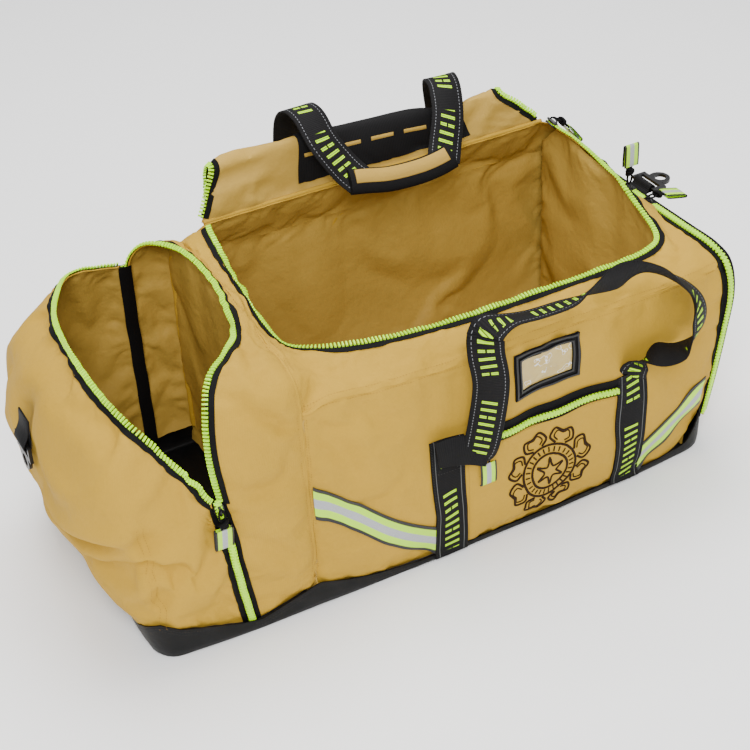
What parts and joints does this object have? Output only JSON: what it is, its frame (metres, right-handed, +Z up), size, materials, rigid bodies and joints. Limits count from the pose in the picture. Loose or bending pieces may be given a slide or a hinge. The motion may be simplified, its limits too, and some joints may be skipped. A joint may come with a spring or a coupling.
{
  "type": "turnout gear bag",
  "caption": "Long fabric gear bag with a helmet compartment at one end, an end pocket, an open zipped lid, webbing handles and reflective trim.",
  "frame": {"origin": "middle of the underside of the base, on the floor", "axes": "+X along the bag from the helmet compartment to the end pocket, -Y the front with the pocket and badge, +Z up"},
  "size_m": [0.8905, 0.424, 0.4388],
  "materials": {
    "canvas": "plain-woven coated canvas",
    "lining": "black coated lining and foam board",
    "base": "black coated, water-resistant sheet",
    "webbing": "black woven webbing with a lime and grey pattern",
    "zip": "moulded lime teeth on black tape",
    "hardware": "black moulded plastic",
    "pull": "black cord with a folded lime and silver tab",
    "trim": "lime and silver reflective tape edged black",
    "window": "clear flexible vinyl",
    "badge": "brown embroidery thread"
  },
  "bodies": {
    "bag": {"back_straps": "webbing", "back_trims": "trim", "base_board": "lining", "base_pan": "base", "divider_wall": "canvas", "end_bag_zip": "zip", "front_badge": "badge", "front_pocket_panel": "canvas", "front_pocket_zip": "zip", "front_straps": "webbing", "front_trims": "trim", "helmet_back_panel": "canvas", "helmet_end_panel": "canvas", "helmet_front_left_panel": "canvas", "helmet_front_right_panel": "canvas", "helmet_top_front_panel": "canvas", "helmet_top_rear_panel": "canvas", "helmet_zip_closed_back": "zip", "helmet_zip_closed_front": "zip", "helmet_zip_open": "zip", "id_window_frame": "webbing", "id_window_pane": "window", "inner_end_wall": "canvas", "left_ring_tab": "webbing", "main_back_panel": "canvas", "main_front_panel": "canvas", "rim_zip": "zip", "top_back_gusset": "canvas", "top_front_gusset": "canvas", "top_left_gusset": "canvas", "top_right_gusset": "canvas"},
    "lid_rear": {"lid_rear_panel": "canvas", "lid_rear_zip": "zip", "lid_slot_panel": "webbing"},
    "lid_front": {"lid_front_panel": "canvas", "lid_front_zip": "zip"},
    "front_handle": {"front_handle": "webbing"},
    "back_handle": {"back_handle": "webbing", "back_handle_grip": "canvas"},
    "end_flap": {"end_flap_panel": "canvas", "end_flap_zip": "zip", "end_face_zip": "zip", "right_ring_tab": "webbing"},
    "right_ring": {"right_anchor_ring": "hardware"},
    "left_ring": {"left_anchor_ring": "hardware"},
    "helmet_front_slider": {"helmet_front_slider": "hardware"},
    "helmet_front_pull": {"helmet_front_pull": "pull"},
    "helmet_back_slider": {"helmet_back_slider": "hardware"},
    "helmet_back_pull": {"helmet_back_pull": "pull"},
    "pocket_slider": {"pocket_slider": "hardware"},
    "pocket_pull": {"pocket_pull": "pull"},
    "end_front_slider": {"end_front_slider": "hardware"},
    "end_front_pull": {"end_front_pull": "pull"},
    "end_back_slider": {"end_back_slider": "hardware"},
    "end_back_pull": {"end_back_pull": "pull"},
    "end_face_slider": {"end_face_slider": "hardware"},
    "end_face_pull": {"end_face_pull": "pull"},
    "main_slider": {"main_slider": "hardware"},
    "main_pull": {"main_pull": "pull"}
  },
  "joints": [
    {"name": "lid_hinge", "type": "hinge", "parent": "bag", "child": "lid_rear", "pos_m": [0, 0.14, 0.341], "axis": [1, 0, 0], "range_deg": [0, 108], "deforming": ["back_handle", "back_handle_grip"]},
    {"name": "lid_fold", "type": "hinge", "parent": "lid_rear", "child": "lid_front", "pos_m": [0, 0.156, 0.41], "axis": [1, 0, 0], "range_deg": [0, 160], "deforming": ["back_handle", "back_handle_grip"]},
    {"name": "back_handle_swing", "type": "hinge", "parent": "bag", "child": "back_handle", "pos_m": [0, 0.184, 0.136], "axis": [1, 0, 0], "range_deg": [-75, 0], "deforming": ["back_handle", "back_handle_grip"]},
    {"name": "front_handle_swing", "type": "hinge", "parent": "bag", "child": "front_handle", "pos_m": [0, -0.2, 0.136], "axis": [1, 0, 0], "range_deg": [0, 120]},
    {"name": "end_flap_hinge", "type": "hinge", "parent": "bag", "child": "end_flap", "pos_m": [0.381, 0, 0.038], "axis": [0, 1, 0], "range_deg": [0, 80]},
    {"name": "right_ring_swing", "type": "hinge", "parent": "end_flap", "child": "right_ring", "pos_m": [0.405, 0.012, 0.286], "axis": [0, 1, 0], "range_deg": [-60, 70]},
    {"name": "left_ring_swing", "type": "hinge", "parent": "bag", "child": "left_ring", "pos_m": [-0.443, 0, 0.226], "axis": [0, 1, 0], "range_deg": [0, 110]},
    {"name": "helmet_front_zip_slide", "type": "slide", "parent": "bag", "child": "helmet_front_slider", "axis": [0.1203, 0, -0.9927], "range_m": [0, 0.13]},
    {"name": "helmet_front_pull_swing", "type": "hinge", "parent": "helmet_front_slider", "child": "helmet_front_pull", "pos_m": [-0.291, -0.19, 0.19], "axis": [-1, 0, 0], "range_deg": [0, 150]},
    {"name": "helmet_back_zip_slide", "type": "slide", "parent": "bag", "child": "helmet_back_slider", "axis": [0, 0, -1], "range_m": [0, 0.2]},
    {"name": "helmet_back_pull_swing", "type": "hinge", "parent": "helmet_back_slider", "child": "helmet_back_pull", "pos_m": [-0.246, 0.19, 0.284], "axis": [1, 0, 0], "range_deg": [0, 150]},
    {"name": "pocket_zip_slide", "type": "slide", "parent": "bag", "child": "pocket_slider", "axis": [1, 0, 0], "range_m": [0, 0.14]},
    {"name": "pocket_pull_swing", "type": "hinge", "parent": "pocket_slider", "child": "pocket_pull", "pos_m": [0.039, -0.1901, 0.16], "axis": [-1, 0, 0], "range_deg": [0, 8]},
    {"name": "end_front_zip_slide", "type": "slide", "parent": "bag", "child": "end_front_slider", "axis": [0, -1, 0], "range_m": [0, 0.1]},
    {"name": "end_front_pull_swing", "type": "hinge", "parent": "end_front_slider", "child": "end_front_pull", "pos_m": [0.3805, -0.03, 0.297], "axis": [0, -1, 0], "range_deg": [0, 150]},
    {"name": "end_back_zip_slide", "type": "slide", "parent": "bag", "child": "end_back_slider", "axis": [0, 1, 0], "range_m": [0, 0.06]},
    {"name": "end_back_pull_swing", "type": "hinge", "parent": "end_back_slider", "child": "end_back_pull", "pos_m": [0.3805, 0.012, 0.297], "axis": [1, 0, 0], "range_deg": [-75, 75]},
    {"name": "end_face_zip_slide", "type": "slide", "parent": "end_flap", "child": "end_face_slider", "axis": [0, 1, 0], "range_m": [0, 0.22]},
    {"name": "end_face_pull_swing", "type": "hinge", "parent": "end_face_slider", "child": "end_face_pull", "pos_m": [0.4242, -0.13, 0.23], "axis": [0, -1, 0], "range_deg": [0, 150]},
    {"name": "main_zip_slide", "type": "slide", "parent": "bag", "child": "main_slider", "axis": [0, -0.9846, -0.1748], "range_m": [0, 0.08]},
    {"name": "main_pull_swing", "type": "hinge", "parent": "main_slider", "child": "main_pull", "pos_m": [0.3435, 0.124, 0.352], "axis": [0, -1, 0], "range_deg": [0, 150]}
  ],
  "couplings": [
    {"joint": "lid_fold", "follows": "lid_hinge", "ratio": 1.4814},
    {"joint": "back_handle_swing", "follows": "lid_hinge", "ratio": -0.6943}
  ]
}
